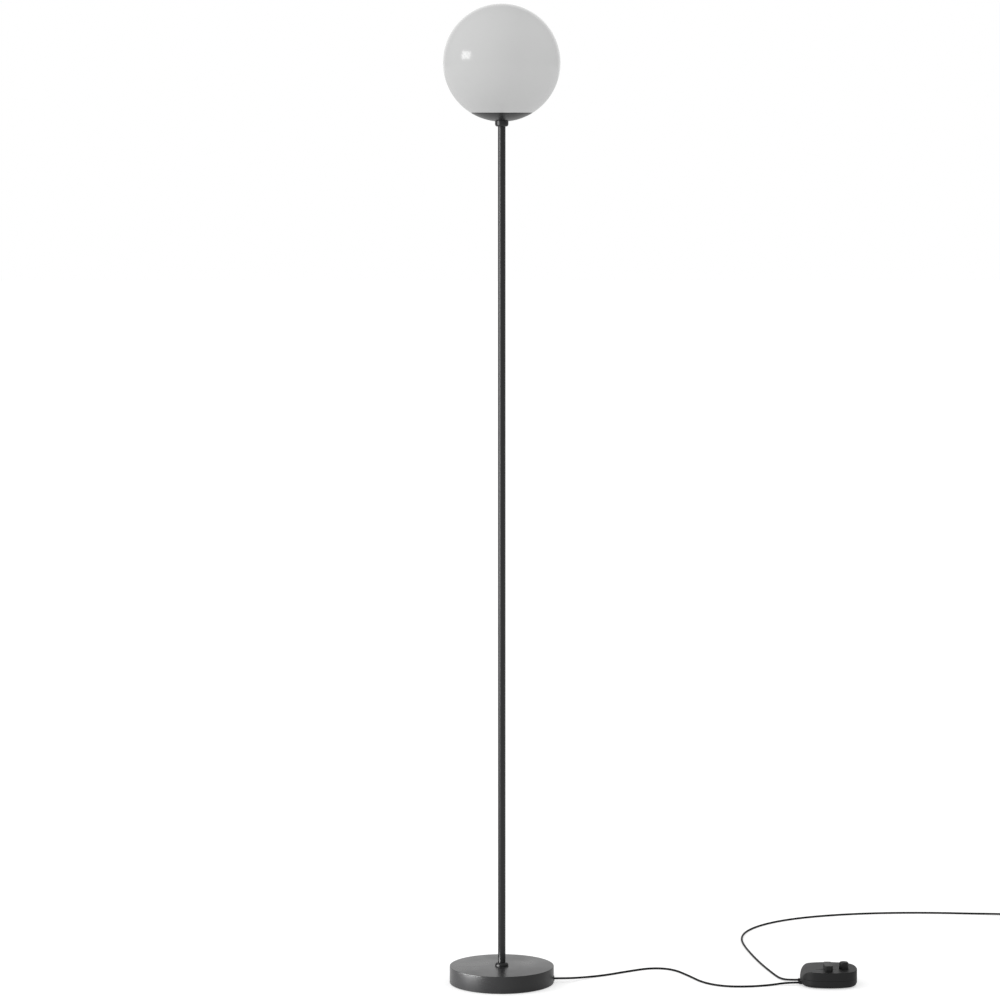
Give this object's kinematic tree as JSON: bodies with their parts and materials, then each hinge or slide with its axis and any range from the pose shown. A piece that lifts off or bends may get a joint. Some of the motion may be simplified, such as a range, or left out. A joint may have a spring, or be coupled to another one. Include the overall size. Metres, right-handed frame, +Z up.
{
  "type": "globe floor lamp",
  "caption": "Slim floor lamp: opal glass globe in a shallow dish on a straight pole, round weighted base, cord with an in-line foot dimmer.",
  "frame": {"origin": "on the floor, on the axis of the pole, under the centre of the base", "axes": "+Z up along the pole, +X towards the side where the cord leaves the base, +Y away from the front view"},
  "size_m": [1.1114, 0.6737, 1.6844],
  "materials": {
    "black_coat": "satin powder coat",
    "foam_pad": "closed-cell foam",
    "zinc_steel": "zinc plated",
    "spring_steel": "spring steel",
    "black_rubber": "matt",
    "white_nylon": "natural nylon",
    "silicone": "clear silicone",
    "opal_glass": "opal, glossy",
    "white_holder": "thermoplastic",
    "nickel_brass": "nickel plated",
    "core_insulation": "PVC",
    "bulb_contact": "glass bead and solder",
    "bulb_body": "satin",
    "bulb_diffuser": "frosted",
    "black_cord": "smooth PVC",
    "black_housing": "fine grain",
    "black_controls": "satin",
    "white_acetal": "acetal",
    "part_black": "moulded",
    "capacitor_film": "dipped film",
    "board": "glass-fibre laminate",
    "tie_fabric": "hook and loop",
    "black_plug": "moulded PVC"
  },
  "bodies": {
    "lamp": {"base_disc": "black_coat", "base_pad": "foam_pad", "base_cover": "zinc_steel", "base_cover_screws": "zinc_steel", "base_washer": "zinc_steel", "base_nut": "zinc_steel", "base_cord_grommet": "black_rubber", "cord_clamp": "white_nylon", "cord_clamp_screws": "zinc_steel", "pole": "black_coat", "foot_collar": "black_coat", "head_collar": "black_coat", "collar_grub_screw": "zinc_steel", "foot_stud": "zinc_steel", "head_stud": "zinc_steel", "globe_cap": "black_coat", "cap_washer": "zinc_steel", "cap_nut": "zinc_steel", "glass_gasket": "silicone", "glass_globe": "opal_glass", "clip_plate": "zinc_steel", "glass_clips": "spring_steel", "clip_rivets": "zinc_steel", "holder_base": "white_holder", "holder_core": "white_holder", "holder_sleeve": "white_holder", "holder_screw_shell": "nickel_brass", "holder_centre_contact": "spring_steel", "holder_wires": "core_insulation", "bulb_cap": "nickel_brass", "bulb_contact": "bulb_contact", "bulb_body": "bulb_body", "bulb_dome": "bulb_diffuser", "inner_cable": "black_cord", "dimmer_upper_shell": "black_housing", "dimmer_lower_shell": "black_housing", "dimmer_screws": "zinc_steel", "dimmer_feet": "black_rubber", "dimmer_grommets": "black_rubber", "dimmer_clamp": "white_nylon", "dimmer_cord_tails": "black_cord", "dimmer_cores": "core_insulation", "slide_potentiometer": "part_black", "push_switch": "part_black", "circuit_board": "board", "terminal_block": "white_nylon", "choke": "part_black", "capacitor": "capacitor_film", "power_stage": "part_black", "lamp_lead": "black_cord", "mains_lead": "black_cord", "mains_coil": "black_cord", "coil_tie": "tie_fabric", "plug_relief": "black_plug", "plug_body": "black_plug", "plug_pins": "nickel_brass"},
    "slider": {"dimmer_slider": "black_controls", "slider_lever": "white_acetal"},
    "button": {"dimmer_button": "black_controls", "switch_plunger": "white_acetal"}
  },
  "joints": [
    {"name": "slider_travel", "type": "slide", "parent": "lamp", "child": "slider", "axis": [1, 0, 0], "range_m": [-0.019, 0.011]},
    {"name": "button_press", "type": "slide", "parent": "lamp", "child": "button", "axis": [0, 0, -1], "range_m": [0, 0.003], "stiffness_N_per_m": 400, "springref_m": -0.0015}
  ]
}
